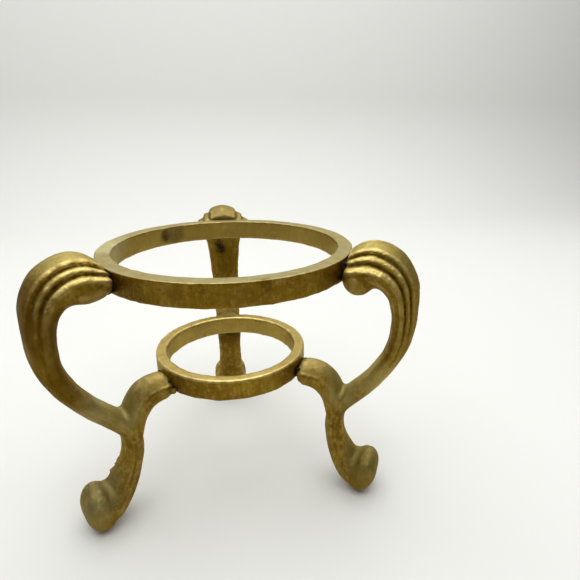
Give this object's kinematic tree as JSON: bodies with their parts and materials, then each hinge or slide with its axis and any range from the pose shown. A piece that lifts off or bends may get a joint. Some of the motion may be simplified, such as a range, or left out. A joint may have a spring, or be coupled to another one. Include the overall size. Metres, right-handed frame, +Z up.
{
  "type": "burner stand",
  "caption": "Low brass burner stand: a wide ring above a smaller ring, both brazed to scrolled, reeded legs with upturned toes.",
  "frame": {"origin": "on the table, on the common axis of the upper and lower rings", "axes": "+Z up along the rings' axis, +Y towards the rear leg; the other legs stand 120 degrees either side of it"},
  "size_m": [0.078, 0.0728, 0.0633],
  "materials": {
    "ring_brass": "aged satin, turned faces with worn bright edges",
    "leg_brass": "aged cast brass, darker in the grooves",
    "braze_metal": "dark tarnished braze with flux stains"
  },
  "bodies": {
    "root": {"upper_ring": "ring_brass", "lower_ring": "ring_brass", "leg_rear": "leg_brass", "leg_left": "leg_brass", "leg_right": "leg_brass", "upper_braze_rear": "braze_metal", "upper_braze_left": "braze_metal", "upper_braze_right": "braze_metal", "lower_braze_rear": "braze_metal", "lower_braze_left": "braze_metal", "lower_braze_right": "braze_metal"}
  },
  "joints": []
}
